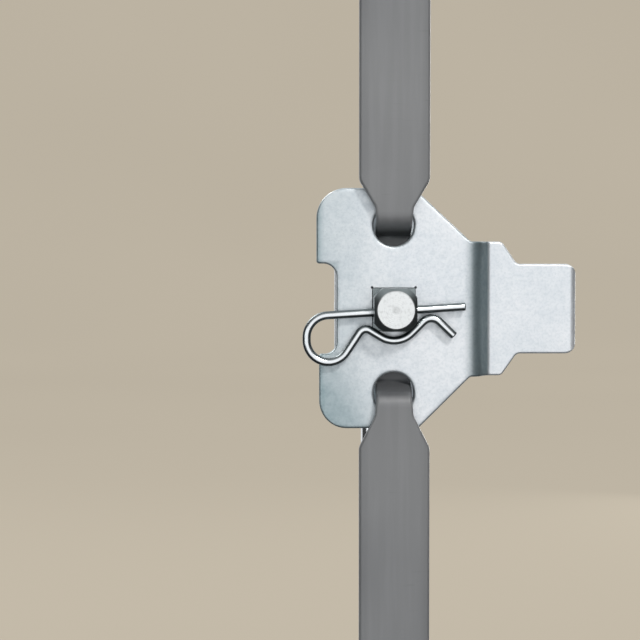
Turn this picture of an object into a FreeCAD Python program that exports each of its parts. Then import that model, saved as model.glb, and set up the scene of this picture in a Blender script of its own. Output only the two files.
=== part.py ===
import FreeCAD, Part

# Three-point latch for a sheet-steel cabinet door.
#
# A quarter turn of the outside handle turns a square spindle and the cam plate on
# its inner end.  The cam plate swings its own tongue clear of the cabinet's frame
# and draws two flat rods in, one from above and one from below.  A wafer lock in
# the handle's hub drives a bolt into the escutcheon, so that the handle can't turn.
#
# Frame, in millimetres: the origin is on the spindle's axis at the door's outer
# face.  +Z is up, +Y points out of the cabinet, +X points to the door's closing
# edge.  The part is drawn latched, with the lock open and the key in it.

import math
import os

V = FreeCAD.Vector

# ---------------------------------------------------------------- driving sizes
DOOR_SHEET = 2.1          # room for the folded door skin that the latch clamps on
GASKET = 0.8

SPINDLE_SQ = 9.525        # 3/8 in square bar
SPINDLE_END_Y = -23.9
SPINDLE_FACE_R = 4.1      # end face, inside a 45 degree chamfer
SPINDLE_TURNED_R = 5.5    # corners turned away where the clip sits
CLIP_HOLE_R = 1.15
CLIP_LEAN = 3.6           # slope of the clip's straight leg, in degrees
CLIP_DROP = 0.35          # how far below the axis that leg crosses the spindle

CAM_T = 2.7               # 12 gauge sheet
CAM_FRONT_Y = -15.8
CAM_HALF_H = 27.3
CAM_BEND_X = 18.2
CAM_OUTLINE = [           # x, z and corner radius
    (42.1, 10.2, 2.6), (28.5, 10.2, 1.5), (25.0, 15.3, 1.5), (17.3, 15.3, 1.2),
    (4.5, 27.3, 1.0), (-17.4, 27.3, 6.75), (-17.4, 10.3, 0.6), (-12.9, 10.3, 3.0),
    (-12.9, -10.1, 2.6), (-16.8, -10.1, 0.6), (-16.8, -26.9, 6.2), (5.6, -26.9, 1.0),
    (17.3, -15.3, 1.2), (25.0, -15.3, 1.5), (28.5, -10.3, 1.5), (42.1, -10.3, 2.6),
]
TONGUE_TIP_X = 42.1
TONGUE_HALF_H = 10.3
TIP_ROUND = 1.6           # rounding of the tip on the side that meets the frame
JOGGLE = 5.0              # how far the tongue is set towards the door
JOGGLE_ANGLE = 60.0
CAM_BEND_R = 2.6          # bend radius at the middle of the sheet

HOOK_R = 18.8             # spindle's axis to each rod's pivot
HOOK_HOLE_R = 4.62

ROD_W = 15.875            # 5/8 in strip
ROD_T = 2.7
ROD_GAP = 0.3             # play between a rod and each face of the cam plate
ROD_TIP_Z = 228.6         # for a door 18 in high
ROD_NOSE = 16.0
HOOK_ANGLE = 62.0
HOOK_BEND_R = 2.5
HOOK_TIP = 8.0            # from the pivot to the end behind the cam plate
NECK_HALF_W = 4.05
NECK_TOP_HALF_W = 4.3

WIRE_R = 0.92             # hairpin of 0.072 in wire
CLIP_Y = CAM_FRONT_Y - 1.75

ESC_HALF_W = 12.8
ESC_HALF_H = 26.0
ESC_COLLAR_R = 12.6
ESC_FLANGE = 4.6
ESC_COLLAR_TOP = 12.6
CUP_R = 10.3
NOTCH_FLOOR = 11.75       # from the axis to the floor of each bolt notch
REAR_RECESS_R = 11.0
CUP_FLOOR_Y = 4.6
SCREW_Z = 19.5
SCREW_R = 2.0

HUB_R = 10.0
HUB_SKIRT_R = 11.8
HUB_TOP_Y = 30.5
NECK_R = 8.2
RING_R = 9.9              # outside of the retaining ring
LEVER_LENGTH = 92.0
LEVER_HALF_W = 5.5

BOLT_Y0 = 9.4
BOLT_T = 2.4
BOLT_HALF_W = 3.6
BOLT_TRAVEL = 2.8
CRANK = BOLT_TRAVEL / math.sqrt(2.0)   # radius of the plug's tail pin

LOCK_R = 7.2
LOCK_RIM_R = 8.5
LOCK_Y0 = 13.6
PLUG_R = 5.2
PLUG_FACE_R = 6.6
TAIL_PIN_R = 0.85
WAFER_COUNT = 5
WAFER_PITCH = 2.4
WAFER_T = 1.0
KEY_T = 1.9
KEY_HALF_W = 3.3

CLEAR = 0.1               # general running clearance

BACK_FACE_Y = -DOOR_SHEET - 2.0        # inner face of the backing plate
FERRULE_Y0 = CAM_FRONT_Y + CAM_T + 1.35
RING_Y = GASKET + 0.15
PIN_R = 1.25
PIN_Y = 6.6


# ---------------------------------------------------------------- shape helpers
def box(x0, x1, y0, y1, z0, z1):
    """A block between two opposite corners."""
    return Part.makeBox(x1 - x0, y1 - y0, z1 - z0, V(x0, y0, z0))


def disc(radius, y0, y1, x=0.0, z=0.0):
    """A cylinder along Y."""
    return Part.makeCylinder(radius, y1 - y0, V(x, y0, z), V(0, 1, 0))


def cone(r0, r1, y0, y1):
    """A cone along Y about the spindle's axis."""
    return Part.makeCone(r0, r1, y1 - y0, V(0, y0, 0), V(0, 1, 0))


def path_edges(points, radii, closed):
    """Straight runs joined by tangent arcs, one radius for each point."""
    count = len(points)
    cuts = []
    for i, corner in enumerate(points):
        radius = radii[i]
        if radius <= 0 or (not closed and i in (0, count - 1)):
            cuts.append((corner, None, corner))
            continue
        back = (points[i - 1] - corner).normalize()
        ahead = (points[(i + 1) % count] - corner).normalize()
        half = back.getAngle(ahead) / 2.0
        reach = radius / math.tan(half)
        bisector = (back + ahead).normalize()
        middle = corner + bisector * (radius / math.sin(half) - radius)
        cuts.append((corner + back * reach, middle, corner + ahead * reach))
    edges = []
    for i, (start, middle, end) in enumerate(cuts):
        if middle is not None:
            edges.append(Part.Arc(start, middle, end).toShape())
        if i + 1 < count or closed:
            target = cuts[(i + 1) % count][0]
            if end.distanceToPoint(target) > 1e-6:
                edges.append(Part.LineSegment(end, target).toShape())
    return edges


def outline_prism(points, radii, y0, y1):
    """A closed outline of (x, z) corners, drawn at y0 and extruded to y1."""
    corners = [V(x, y0, z) for x, z in points]
    wire = Part.Wire(path_edges(corners, radii, True))
    return Part.Face(wire).extrude(V(0, y1 - y0, 0))


def shifted(points, distance):
    """A polyline moved sideways by a distance, its corners mitred."""
    moved = []
    for i, here in enumerate(points):
        before = points[i] - points[i - 1] if i else points[1] - points[0]
        after = points[i + 1] - here if i + 1 < len(points) else before
        a = V(-before.y, before.x, 0).normalize()
        b = V(-after.y, after.x, 0).normalize()
        mitre = (a + b).normalize()
        moved.append(here + mitre * (distance / mitre.dot(a)))
    return moved


def bent_strip(points, bend_r, thickness):
    """The closed edge-on outline of a bent sheet, from its middle line."""
    turns = [0.0]
    for i in range(1, len(points) - 1):
        before = points[i] - points[i - 1]
        after = points[i + 1] - points[i]
        turns.append(math.copysign(1.0, before.cross(after).z))
    turns.append(0.0)
    half = thickness / 2.0
    left = shifted(points, half)
    right = shifted(points, -half)
    left_r = [bend_r - half * t if t else 0.0 for t in turns]
    right_r = [bend_r + half * t if t else 0.0 for t in turns]
    corners = left + right[::-1]
    return path_edges(corners, left_r + right_r[::-1], True)


def is_sharp(shape, edge):
    """True where the two faces beside an edge meet at an angle."""
    point = edge.valueAt((edge.FirstParameter + edge.LastParameter) / 2.0)
    normals = []
    for face in shape.ancestorsOfType(edge, Part.Face):
        u, v = face.Surface.parameter(point)
        normals.append(face.normalAt(u, v))
    return len(normals) == 2 and normals[0].getAngle(normals[1]) > 0.1


def fillet(shape, radius, wanted):
    """Rounds the sharp edges that pass a test."""
    edges = [e for e in shape.Edges if wanted(e) and is_sharp(shape, e)]
    rounded = shape.makeFillet(radius, edges)
    if not rounded.isValid():
        raise ValueError(f"no sound {radius} mm fillet on {len(edges)} edges")
    return rounded


def on_plane_y(y):
    """A test for edges that lie in one plane across the spindle's axis."""
    return lambda e: abs(e.BoundBox.YMin - y) < 1e-4 and abs(e.BoundBox.YMax - y) < 1e-4


def square_hole(size, y0, y1, relief):
    """The cutter for a square hole, with its corners relieved by drilled holes."""
    half = size / 2.0
    cutter = box(-half, half, y0, y1, -half, half)
    for x in (-half, half):
        for z in (-half, half):
            if relief:
                cutter = cutter.fuse(disc(relief, y0, y1, x, z))
    return cutter


def stadium(half_w, half_h, y0, y1):
    """An upright plate with round ends."""
    corners = [(-half_w, -half_h), (half_w, -half_h), (half_w, half_h), (-half_w, half_h)]
    return outline_prism(corners, [half_w - 0.01] * 4, y0, y1)


# ---------------------------------------------------------------- inside parts
def cam_plate():
    """The latching plate: two rod holes, a square hole, and a set-back tongue."""
    mid_y = CAM_FRONT_Y + CAM_T / 2.0
    run = JOGGLE / math.tan(math.radians(JOGGLE_ANGLE))
    middle = [
        V(-20, mid_y, 0),
        V(CAM_BEND_X, mid_y, 0),
        V(CAM_BEND_X + run, mid_y + JOGGLE, 0),
        V(TONGUE_TIP_X + 2, mid_y + JOGGLE, 0),
    ]
    sheet_face = Part.Face(Part.Wire(bent_strip(middle, CAM_BEND_R, CAM_T)))
    sheet = sheet_face.extrude(V(0, 0, 2 * CAM_HALF_H + 4))
    sheet.translate(V(0, 0, -CAM_HALF_H - 2))

    corners = [(x, z) for x, z, _ in CAM_OUTLINE]
    radii = [r for _, _, r in CAM_OUTLINE]
    blank = outline_prism(corners, radii, CAM_FRONT_Y - 1, CAM_FRONT_Y + CAM_T + JOGGLE + 1)
    plate = sheet.common(blank)
    for z in (HOOK_R, -HOOK_R):
        plate = plate.cut(disc(HOOK_HOLE_R, CAM_FRONT_Y - 1, 0, 0, z))
    plate = fillet(plate, 0.5, on_plane_y(CAM_FRONT_Y))
    plate = plate.cut(square_hole(SPINDLE_SQ + 0.3, CAM_FRONT_Y - 1, 0, 0.3))
    x, y = TONGUE_TIP_X - TIP_ROUND, CAM_FRONT_Y + JOGGLE + TIP_ROUND
    corner = box(x, x + 5, y - 5, y, -TONGUE_HALF_H - 1, TONGUE_HALF_H + 1)
    round_bar = Part.makeCylinder(TIP_ROUND, 40, V(x, y, -20), V(0, 0, 1))
    return plate.cut(corner.cut(round_bar))


def rod(side, taper_start, taper_end):
    """A flat rod with a hooked end: side is 1 for the upper one, -1 for the lower."""
    front_y = CAM_FRONT_Y - ROD_GAP - ROD_T / 2.0
    back_y = CAM_FRONT_Y + CAM_T + ROD_GAP + ROD_T / 2.0
    half_run = (back_y - front_y) / 2.0 / math.tan(math.radians(HOOK_ANGLE))
    middle = [
        V(HOOK_R - HOOK_TIP, back_y, 0),
        V(HOOK_R - half_run, back_y, 0),
        V(HOOK_R + half_run, front_y, 0),
        V(ROD_TIP_Z, front_y, 0),
    ]
    side_face = Part.Face(Part.Wire(bent_strip(middle, HOOK_BEND_R, ROD_T)))
    bar = side_face.extrude(V(0, 0, ROD_W))
    bar.translate(V(0, 0, -ROD_W / 2.0))
    bar.rotate(V(0, 0, 0), V(0, 1, 0), -90)

    half_w = ROD_W / 2.0
    right = [
        (NECK_HALF_W, HOOK_R - HOOK_TIP, 2.2),
        (NECK_HALF_W, HOOK_R + half_run, 3.0),
        (NECK_TOP_HALF_W, taper_start, 3.0),
        (half_w, taper_end, 3.0),
        (half_w, ROD_TIP_Z - ROD_NOSE, 6.0),
        (half_w - 3.4, ROD_TIP_Z, 3.0),
    ]
    left = [(-x, z, r) for x, z, r in reversed(right)]
    corners = right + left
    blank = outline_prism(
        [(x, z) for x, z, _ in corners], [r for _, _, r in corners], -30, 0)
    bar = bar.common(blank)
    outer_y = front_y - ROD_T / 2.0
    for y in (outer_y, outer_y + ROD_T):
        bar = fillet(bar, 0.7, on_plane_y(y))
    nose = box(-half_w, half_w, -5, 0, -10, 10)
    nose.rotate(V(0, 0, 0), V(1, 0, 0), -12)
    nose.translate(V(0, front_y - 0.2, ROD_TIP_Z))
    for turn in (0, 180):
        cutter = nose.copy()
        cutter.rotate(V(0, front_y, 0), V(0, 0, 1), turn)
        bar = bar.cut(cutter)
    if side < 0:
        bar.rotate(V(0, 0, 0), V(0, 1, 0), 180)
    return bar


def hairpin_clip():
    """The spring-wire clip: one leg through the spindle, one waved round it."""
    lean = math.tan(math.radians(CLIP_LEAN))
    route = [
        (16.0, 16.0 * lean - CLIP_DROP, 0.0), (-19.7, -19.7 * lean - CLIP_DROP, 4.95),
        (-19.7, -11.8, 4.9), (-12.2, -11.8, 5.0), (-6.9, -3.8, 1.8), (0.8, -8.45, 5.6),
        (8.3, -0.95, 2.6), (13.5, -5.95, 0.0),
    ]
    points = [V(x, CLIP_Y, z) for x, z, _ in route]
    wire = Part.Wire(path_edges(points, [r for _, _, r in route], False))
    ring = Part.Wire(Part.Circle(points[0], points[0] - points[1], WIRE_R).toShape())
    return wire.makePipeShell([ring], True, True)


def spindle():
    """Square bar: corners turned away at the inner end, and two cross holes."""
    half = SPINDLE_SQ / 2.0
    bar = box(-half, half, SPINDLE_END_Y, BOLT_Y0 - 0.7, -half, half)
    turned = disc(SPINDLE_TURNED_R, SPINDLE_END_Y, CAM_FRONT_Y - 0.3)
    bar = bar.common(turned.fuse(disc(20, CAM_FRONT_Y - 0.4, 20)))
    bar = bar.common(cone(SPINDLE_FACE_R, SPINDLE_FACE_R + 40, SPINDLE_END_Y, SPINDLE_END_Y + 40))
    clip_hole = Part.makeCylinder(CLIP_HOLE_R, 20, V(-10, CLIP_Y, 0), V(1, 0, 0))
    clip_hole.rotate(V(0, CLIP_Y, 0), V(0, 1, 0), -CLIP_LEAN)
    clip_hole.translate(V(0, 0, -CLIP_DROP))
    pin_hole = Part.makeCylinder(PIN_R, 20, V(-10, PIN_Y, 0), V(1, 0, 0))
    return bar.cut(clip_hole).cut(pin_hole)


def ferrule():
    """The nylon ferrule that carries the square spindle in the round hole."""
    body = disc(7.9, FERRULE_Y0, BACK_FACE_Y - 0.3)
    body = body.fuse(disc(7.0, BACK_FACE_Y - 0.4, -0.3))
    return body.cut(square_hole(SPINDLE_SQ + 0.15, -20, 5, 0))


def cam_spring():
    """The conical washer that pushes the cam plate against the clip."""
    back_y = CAM_FRONT_Y + CAM_T + 0.05
    outer = cone(9.3, 8.0, back_y, back_y + 1.3)
    hollow = cone(8.7, 7.4, back_y - 0.001, back_y + 0.86)
    return outer.cut(hollow).cut(disc(6.9, -20, 0))


def backing_plate():
    """The pressed plate that the screws draw against the inside of the door."""
    plate = stadium(12.4, 25.0, BACK_FACE_Y, -DOOR_SHEET)
    plate = fillet(plate, 0.6, on_plane_y(BACK_FACE_Y))
    plate = plate.cut(disc(7.0 + 0.08, -10, 5))
    for z in (SCREW_Z, -SCREW_Z):
        plate = plate.cut(disc(SCREW_R + 0.25, -10, 5, 0, z))
    return plate


def screw_washers():
    """Two plain washers under the screw heads."""
    rings = []
    for z in (SCREW_Z, -SCREW_Z):
        ring = disc(4.5, BACK_FACE_Y - 0.8, BACK_FACE_Y, 0, z)
        rings.append(ring.cut(disc(SCREW_R + 0.2, -20, 5, 0, z)))
    return Part.Compound(rings)


def mounting_screws():
    """Two pan-head screws with cross recesses, from inside the door."""
    screws = []
    head_y = BACK_FACE_Y - 0.8
    for z in (SCREW_Z, -SCREW_Z):
        head = disc(3.8, head_y - 2.2, head_y, 0, z)
        head = fillet(head, 1.4, on_plane_y(head_y - 2.2))
        shank = disc(SCREW_R, head_y - 0.5, ESC_FLANGE - 0.6, 0, z)
        screw = head.fuse(shank)
        for wide, tall in ((2.2, 0.45), (0.45, 2.2)):
            screw = screw.cut(box(-wide, wide, head_y - 3, head_y - 1.1, z - tall, z + tall))
        screws.append(screw)
    return Part.Compound(screws)


# ---------------------------------------------------------------- outside parts
def gasket():
    """The thin pad between the escutcheon and the door."""
    pad = stadium(ESC_HALF_W - 0.5, ESC_HALF_H - 0.5, 0, GASKET)
    pad = pad.cut(disc(REAR_RECESS_R + 0.4, -5, 5))
    for z in (SCREW_Z, -SCREW_Z):
        pad = pad.cut(disc(SCREW_R + 0.3, -5, 5, 0, z))
    return pad


def escutcheon():
    """The cast plate on the door: a cup for the hub, with four bolt notches."""
    plate = stadium(ESC_HALF_W, ESC_HALF_H, GASKET, ESC_FLANGE + GASKET)
    plate = fillet(plate, 1.8, on_plane_y(ESC_FLANGE + GASKET))
    collar = disc(ESC_COLLAR_R, GASKET + 1, ESC_COLLAR_TOP)
    collar = fillet(collar, 0.8, on_plane_y(ESC_COLLAR_TOP))
    body = plate.fuse(collar)
    body = body.cut(disc(CUP_R, CUP_FLOOR_Y, 20))
    body = body.cut(disc(NECK_R + CLEAR, -5, 20))
    body = body.cut(disc(REAR_RECESS_R, GASKET - 1, GASKET + 2.4))
    notch_half = BOLT_HALF_W + 0.25
    for turn in range(4):
        notch = box(-notch_half, notch_half, BOLT_Y0 - 0.4, BOLT_Y0 + BOLT_T + 0.2, 0, NOTCH_FLOOR)
        notch.rotate(V(0, 0, 0), V(0, 1, 0), 90 * turn)
        body = body.cut(notch)
    for z in (SCREW_Z, -SCREW_Z):
        body = body.cut(disc(SCREW_R, -5, ESC_FLANGE - 0.4, 0, z))
    return body


def retaining_ring():
    """The open snap ring in the hub's neck, behind the escutcheon."""
    ring = disc(RING_R, RING_Y, RING_Y + 1.0).cut(disc(NECK_R - 0.7, -5, 20))
    return ring.cut(box(-2.2, 2.2, -5, 20, -20, 0))


def hub_spring():
    """The conical washer that holds the hub back in its cup."""
    outer = cone(9.2, 10.6, RING_Y + 1.02, RING_Y + 1.9)
    hollow = cone(8.8, 10.2, RING_Y + 1.30, RING_Y + 2.18)
    shell = outer.cut(hollow)
    return shell.cut(disc(NECK_R + 0.15, -5, 20))


def handle():
    """The cast hub and its lever, which hangs straight down when latched."""
    hub = disc(HUB_R, CUP_FLOOR_Y + 0.1, ESC_COLLAR_TOP + 1.0)
    skirt = disc(HUB_SKIRT_R, ESC_COLLAR_TOP + 0.4, HUB_TOP_Y)
    skirt = fillet(skirt, 2.6, on_plane_y(HUB_TOP_Y))
    skirt = fillet(skirt, 0.8, on_plane_y(ESC_COLLAR_TOP + 0.4))
    lever = lever_arm()
    body = hub.fuse(disc(NECK_R, GASKET, CUP_FLOOR_Y + 0.2)).fuse(skirt).fuse(lever)
    groove = disc(20, RING_Y - 0.05, RING_Y + 1.05).cut(disc(NECK_R - 0.75, -5, 20))
    body = body.cut(groove)
    body = body.cut(square_hole(SPINDLE_SQ + 0.08, -5, BOLT_Y0 - 0.6, 0))
    slot_half = BOLT_HALF_W + CLEAR
    body = body.cut(box(-slot_half, slot_half, BOLT_Y0 - CLEAR, BOLT_Y0 + BOLT_T + CLEAR, -6.0, 20))
    body = body.cut(disc(4.6, BOLT_Y0, LOCK_Y0 + 1))
    body = body.cut(disc(LOCK_R + 0.02, LOCK_Y0, 60))
    body = body.cut(disc(LOCK_RIM_R + 0.1, HUB_TOP_Y - 1.0, 60))
    pin_hole = Part.makeCylinder(PIN_R, 40, V(-20, PIN_Y, 0), V(1, 0, 0))
    return body.cut(pin_hole)


def lever_arm():
    """The lever: a bar that narrows downwards, bows outwards and is rounded off."""
    side = [
        (0.0, 18.5, 0.0), (0.0, 28.6, 0.0),
        (-34.0, 27.0, 60.0), (-LEVER_LENGTH, 29.5, 3.6),
        (-LEVER_LENGTH, 22.0, 3.6), (-34.0, 17.4, 50.0),
    ]
    corners = [V(0, y, z) for z, y, _ in side]
    face = Part.Face(Part.Wire(path_edges(corners, [r for _, _, r in side], True)))
    slab = face.extrude(V(30, 0, 0))
    slab.translate(V(-15, 0, 0))
    front = [
        (9.0, 0.0, 0.0), (LEVER_HALF_W, -22.0, 40.0), (LEVER_HALF_W, -LEVER_LENGTH, 4.2),
        (-LEVER_HALF_W, -LEVER_LENGTH, 4.2), (-LEVER_HALF_W, -22.0, 40.0), (-9.0, 0.0, 0.0),
    ]
    blank = outline_prism([(x, z) for x, z, _ in front], [r for _, _, r in front], 5, 45)
    arm = slab.common(blank)
    return fillet(
        arm, 2.4, lambda e: e.BoundBox.ZMin < -1.0 and e.BoundBox.XLength + e.BoundBox.ZLength > 6)


def spindle_pin():
    """The slotted spring pin that holds the spindle in the hub."""
    pin = Part.makeCylinder(PIN_R - 0.02, 2 * HUB_R - 1.2, V(-HUB_R + 0.6, PIN_Y, 0), V(1, 0, 0))
    bore = Part.makeCylinder(0.7, 40, V(-20, PIN_Y, 0), V(1, 0, 0))
    return pin.cut(bore).cut(box(-20, 20, PIN_Y - 3, PIN_Y, -0.25, 0.25))


# ---------------------------------------------------------------- the wafer lock
def lock_bolt():
    """The sliding bolt, with a cross slot for the plug's tail pin."""
    z0 = HUB_R - 1.15
    bolt = box(-BOLT_HALF_W, BOLT_HALF_W, BOLT_Y0, BOLT_Y0 + BOLT_T, -5.4, z0)
    bolt = fillet(bolt, 0.8, lambda e: abs(e.BoundBox.ZMin - z0) < 1e-4 and e.BoundBox.XLength < 0.1)
    pin_z = -CRANK * math.sin(math.pi / 4)
    slot_r = TAIL_PIN_R + 0.12
    x0, x1 = CRANK * math.cos(math.pi / 4) - 0.4, CRANK + 0.2
    slot = box(x0, x1, BOLT_Y0 - 1, BOLT_Y0 + BOLT_T + 1, pin_z - slot_r, pin_z + slot_r)
    for x in (x0, x1):
        slot = slot.fuse(disc(slot_r, BOLT_Y0 - 1, BOLT_Y0 + BOLT_T + 1, x, pin_z))
    return bolt.cut(slot)


def lock_shell():
    """The lock's fixed barrel, slotted for the wafers to lock into."""
    shell = disc(LOCK_R, LOCK_Y0 + 0.1, HUB_TOP_Y - 0.5)
    rim = disc(LOCK_RIM_R, HUB_TOP_Y - 0.95, HUB_TOP_Y + 0.5)
    rim = fillet(rim, 0.4, on_plane_y(HUB_TOP_Y + 0.5))
    shell = shell.fuse(rim)
    shell = shell.cut(disc(PLUG_R + 0.06, 0, 60))
    channel = box(-3.2, 3.2, LOCK_Y0 + 1.6, LOCK_Y0 + 14.6, -PLUG_R - 0.9, PLUG_R + 0.9)
    return shell.cut(channel)


def wafer_places():
    """The Y of each wafer's lower face."""
    return [LOCK_Y0 + 2.4 + i * WAFER_PITCH for i in range(WAFER_COUNT)]


def lock_plug():
    """The turning plug: keyway, wafer slots, and a tail pin off its centre."""
    plug = disc(PLUG_R, LOCK_Y0 + 0.1, HUB_TOP_Y + 0.4)
    plug = plug.fuse(disc(PLUG_FACE_R, HUB_TOP_Y + 0.55, HUB_TOP_Y + 1.4))
    plug = plug.fuse(disc(PLUG_R - 0.4, HUB_TOP_Y, HUB_TOP_Y + 1.0))
    plug = fillet(plug, 0.3, on_plane_y(HUB_TOP_Y + 1.4))
    way_x, way_z = KEY_T / 2.0 + 0.1, KEY_HALF_W + 0.1
    plug = plug.cut(box(-way_x, way_x, LOCK_Y0 + 1.2, 60, -way_z, way_z))
    for y in wafer_places():
        slot = box(-2.9, 2.9, y - 0.08, y + WAFER_T + 0.08, -10, 10)
        plug = plug.cut(slot)
    x = CRANK * math.cos(math.pi / 4)
    z = -CRANK * math.sin(math.pi / 4)
    tail = disc(3.9, LOCK_Y0 - 1.15, LOCK_Y0 + 0.2)
    return plug.fuse(tail).fuse(disc(TAIL_PIN_R, BOLT_Y0 + 0.3, LOCK_Y0 - 1.0, x, z))


def wafers():
    """The sprung wafers, each a plate with a window for the key."""
    plates = []
    for y in wafer_places():
        plate = disc(PLUG_R - 0.05, y, y + WAFER_T).common(box(-2.8, 2.8, 0, 60, -10, 10))
        window = box(-KEY_T / 2 - 0.2, KEY_T / 2 + 0.2, 0, 60, -KEY_HALF_W - 0.2, KEY_HALF_W + 0.2)
        plates.append(plate.cut(window))
    return Part.Compound(plates)


def key():
    """The flat key: cut blade in the plug, round-cornered bow outside."""
    face_y = HUB_TOP_Y + 1.4
    blade = box(-KEY_T / 2, KEY_T / 2, LOCK_Y0 + 1.6, face_y + 3, -KEY_HALF_W, KEY_HALF_W)
    for i, y in enumerate(wafer_places()):
        depth = (0.9, 1.5, 0.5, 1.2, 0.7)[i]
        cut = Part.makePolygon([
            V(-2, y - 0.7, KEY_HALF_W + 0.1), V(-2, y + 0.1, KEY_HALF_W - depth),
            V(-2, y + 0.9, KEY_HALF_W - depth), V(-2, y + 1.7, KEY_HALF_W + 0.1),
            V(-2, y - 0.7, KEY_HALF_W + 0.1)])
        blade = blade.cut(Part.Face(cut).extrude(V(4, 0, 0)))
    groove = box(KEY_T / 2 - 0.45, KEY_T, LOCK_Y0, face_y + 3, -1.1, 0.2)
    blade = blade.cut(groove)
    corners = [V(-KEY_T / 2, y, z) for y, z in (
        (face_y + 1.2, -4.6), (face_y + 4.5, -11.0), (face_y + 20.0, -11.0),
        (face_y + 25.0, -5.5), (face_y + 25.0, 5.5), (face_y + 20.0, 11.0),
        (face_y + 4.5, 11.0), (face_y + 1.2, 4.6))]
    bow_wire = Part.Wire(path_edges(corners, [1.5, 4.5, 5.0, 4.5, 4.5, 5.0, 4.5, 1.5], True))
    bow = Part.Face(bow_wire).extrude(V(KEY_T, 0, 0))
    eye = Part.makeCylinder(3.2, 20, V(-10, face_y + 18.5, 0), V(1, 0, 0))
    bow = fillet(bow.cut(eye), 0.5, lambda e: e.BoundBox.XLength < 1e-4)
    return blade.fuse(bow)


PARTS = {
    "cam_plate": cam_plate,
    "upper_rod": lambda: rod(1, 22.9, 28.9),
    "lower_rod": lambda: rod(-1, 23.9, 31.0),
    "hairpin_clip": hairpin_clip,
    "spindle": spindle,
    "spindle_ferrule": ferrule,
    "cam_spring_washer": cam_spring,
    "backing_plate": backing_plate,
    "screw_washers": screw_washers,
    "mounting_screws": mounting_screws,
    "gasket": gasket,
    "escutcheon": escutcheon,
    "retaining_ring": retaining_ring,
    "hub_spring_washer": hub_spring,
    "handle": handle,
    "spindle_pin": spindle_pin,
    "lock_bolt": lock_bolt,
    "lock_shell": lock_shell,
    "lock_plug": lock_plug,
    "wafers": wafers,
    "key": key,
}


def main():
    """Builds each part and writes it to its own STEP file."""
    os.makedirs("parts", exist_ok=True)
    for name, make in PARTS.items():
        shape = make()
        if not shape.isValid():
            print("NOT VALID:", name)
        shape.exportStep(os.path.join("parts", name + ".step"))
        print(f"{name:20s} {len(shape.Solids)} solids {shape.Volume:9.1f} mm3")


main()
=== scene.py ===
"""Three-point cabinet door latch: finishes, wire clip, studio and camera.

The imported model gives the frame.  Plates, rods, castings and the lock keep the
shapes that it gives them and are only dressed here.  The wire clip is made here.
Names that end in _mm hold millimetres.  Every other length is in metres.
"""
import logging
import math
from dataclasses import dataclass, field
from enum import Enum
from typing import Any, Optional

import bmesh
import bpy
from mathutils import Matrix, Vector


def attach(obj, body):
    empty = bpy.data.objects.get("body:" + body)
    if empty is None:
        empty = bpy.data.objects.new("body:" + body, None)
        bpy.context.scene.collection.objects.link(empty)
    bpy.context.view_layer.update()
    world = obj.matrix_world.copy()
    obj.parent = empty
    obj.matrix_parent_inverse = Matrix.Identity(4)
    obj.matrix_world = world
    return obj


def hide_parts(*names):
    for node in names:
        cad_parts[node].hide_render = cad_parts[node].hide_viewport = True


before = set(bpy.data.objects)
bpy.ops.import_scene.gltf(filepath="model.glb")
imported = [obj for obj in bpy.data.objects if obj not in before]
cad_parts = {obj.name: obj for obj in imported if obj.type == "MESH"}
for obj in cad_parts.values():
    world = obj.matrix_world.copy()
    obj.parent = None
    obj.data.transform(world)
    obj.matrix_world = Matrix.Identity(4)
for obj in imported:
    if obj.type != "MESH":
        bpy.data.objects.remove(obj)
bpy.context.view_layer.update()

LOG = logging.getLogger("cabinet_latch")
MM = 0.001
WELD = 1e-6                  # vertices closer than this are one
CLIP_PLANE_Y_MM = -17.55     # the plane that the clip's wire lies in
CLIP_WIRE_R_MM = 0.92
FULL_TURN = 2.0 * math.pi

Span = tuple[float, float]
Colour = tuple[float, float, float]
Values = dict[str, Any]
Edges = list[bmesh.types.BMEdge]


class Blend(Enum):
    """How two colours are put together."""

    MIX = "MIX"
    MULTIPLY = "MULTIPLY"


class Grain(Enum):
    """Which way marks run, and how long they are, as a noise factor for each axis."""

    NONE = (1.0, 1.0, 1.0)
    ALONG_X = (0.06, 1.0, 1.0)
    ALONG_Z = (1.0, 1.0, 0.06)
    STREAKS_ALONG_Z = (1.0, 1.0, 0.05)
    RUBS_ALONG_X = (0.12, 1.0, 1.0)
    SMEARS_ALONG_Z = (1.0, 1.0, 0.35)


@dataclass(frozen=True)
class Layer:
    """One layer of cloudy marks: their size, detail, fade and grain.

    A fade is the noise level where the marks start and the level where they are full.
    """

    size_mm: float
    detail: float
    fade: Optional[Span] = None
    grain: Grain = Grain.NONE


@dataclass(frozen=True)
class Relief:
    """How deep a finish's fine bumps are, and how much of them shows."""

    depth_mm: float
    strength: float


def scaled(colour: Colour, factor: float) -> Colour:
    """The colour made lighter or darker by a factor."""
    return tuple(channel * factor for channel in colour)


def tinted(colour: Colour, factors: Colour) -> Colour:
    """The colour with a factor for each channel."""
    return tuple(channel * factor for channel, factor in zip(colour, factors))


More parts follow.
